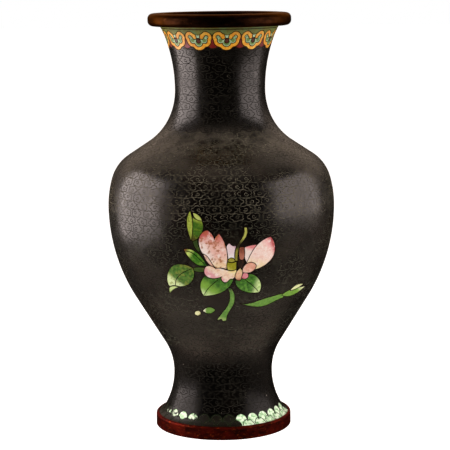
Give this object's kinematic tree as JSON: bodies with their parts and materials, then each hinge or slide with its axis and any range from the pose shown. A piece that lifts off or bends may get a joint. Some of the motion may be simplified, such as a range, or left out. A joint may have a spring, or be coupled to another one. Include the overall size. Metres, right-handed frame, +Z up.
{
  "type": "cloisonne vase",
  "caption": "Baluster vase with a flared mouth and foot: copper body in lapped sections, cast rim and foot rings, and wired enamel cells with a flower spray on a black ground.",
  "frame": {"origin": "centre of the foot's resting face", "axes": "+Z up along the axis of the vase, -Y towards the flower spray"},
  "size_m": [0.1657, 0.1657, 0.305],
  "materials": {
    "copper_body": "brazed sheet copper, hidden under enamel",
    "patinated_rim": "dark brown patinated copper, softly worn",
    "patinated_foot": "reddish brown patinated copper",
    "counter_enamel": "turquoise counter enamel",
    "black_enamel": "polished black ground enamel",
    "yellow_enamel": "polished yellow orange enamel",
    "pale_green_enamel": "polished green enamel, pale at its edges",
    "red_enamel": "polished dark red enamel",
    "sage_enamel": "polished sage green enamel",
    "scale_enamel": "polished pale green enamel, darkened in patches",
    "cell_wire": "dull oxidised copper wire",
    "petal_enamel": "pale pink enamel, shaded to cream",
    "salmon_enamel": "salmon pink enamel",
    "lilac_enamel": "pale lilac enamel",
    "red_brown_enamel": "red brown enamel",
    "olive_enamel": "olive yellow enamel",
    "leaf_enamel": "leaf green enamel, shaded to pale yellow green",
    "stem_enamel": "olive green enamel",
    "bud_enamel": "pale yellow green enamel"
  },
  "bodies": {
    "root": {"foot_shell": "copper_body", "belly_shell": "copper_body", "shoulder_shell": "copper_body", "neck_shell": "copper_body", "base_plate": "copper_body", "rim_ring": "patinated_rim", "foot_ring": "patinated_foot", "base_enamel": "counter_enamel", "lining_enamel": "counter_enamel", "ruyi_borders": "yellow_enamel", "ruyi_fields": "pale_green_enamel", "ruyi_eyes": "red_enamel", "gap_cells": "red_enamel", "collar_enamel": "sage_enamel", "ground_neck": "black_enamel", "ground_foot": "black_enamel", "ground_belly": "black_enamel", "scales_upper": "scale_enamel", "scales_lower": "scale_enamel", "spray_wires": "cell_wire", "petal_left": "petal_enamel", "petal_under": "petal_enamel", "petal_right": "petal_enamel", "petal_right_back": "petal_enamel", "petal_front": "petal_enamel", "petal_small": "petal_enamel", "petal_salmon": "salmon_enamel", "petal_orange": "salmon_enamel", "petal_back": "lilac_enamel", "petal_red": "red_brown_enamel", "flower_eye": "red_brown_enamel", "pistil_cup": "olive_enamel", "pistil_top": "olive_enamel", "stamen": "olive_enamel", "leaf_lower_left": "leaf_enamel", "leaf_lower_right": "leaf_enamel", "leaf_upper": "leaf_enamel", "leaf_left": "leaf_enamel", "leaf_left_tip": "leaf_enamel", "bud_body": "leaf_enamel", "stem_side": "stem_enamel", "stem_bud": "stem_enamel", "stem_main": "stem_enamel", "twig": "stem_enamel", "bud_left_sepal": "bud_enamel", "bud_right_sepal": "bud_enamel", "twig_bud_sepal": "bud_enamel", "twig_bud": "bud_enamel", "fallen_bud": "bud_enamel", "seed": "bud_enamel"}
  },
  "joints": []
}
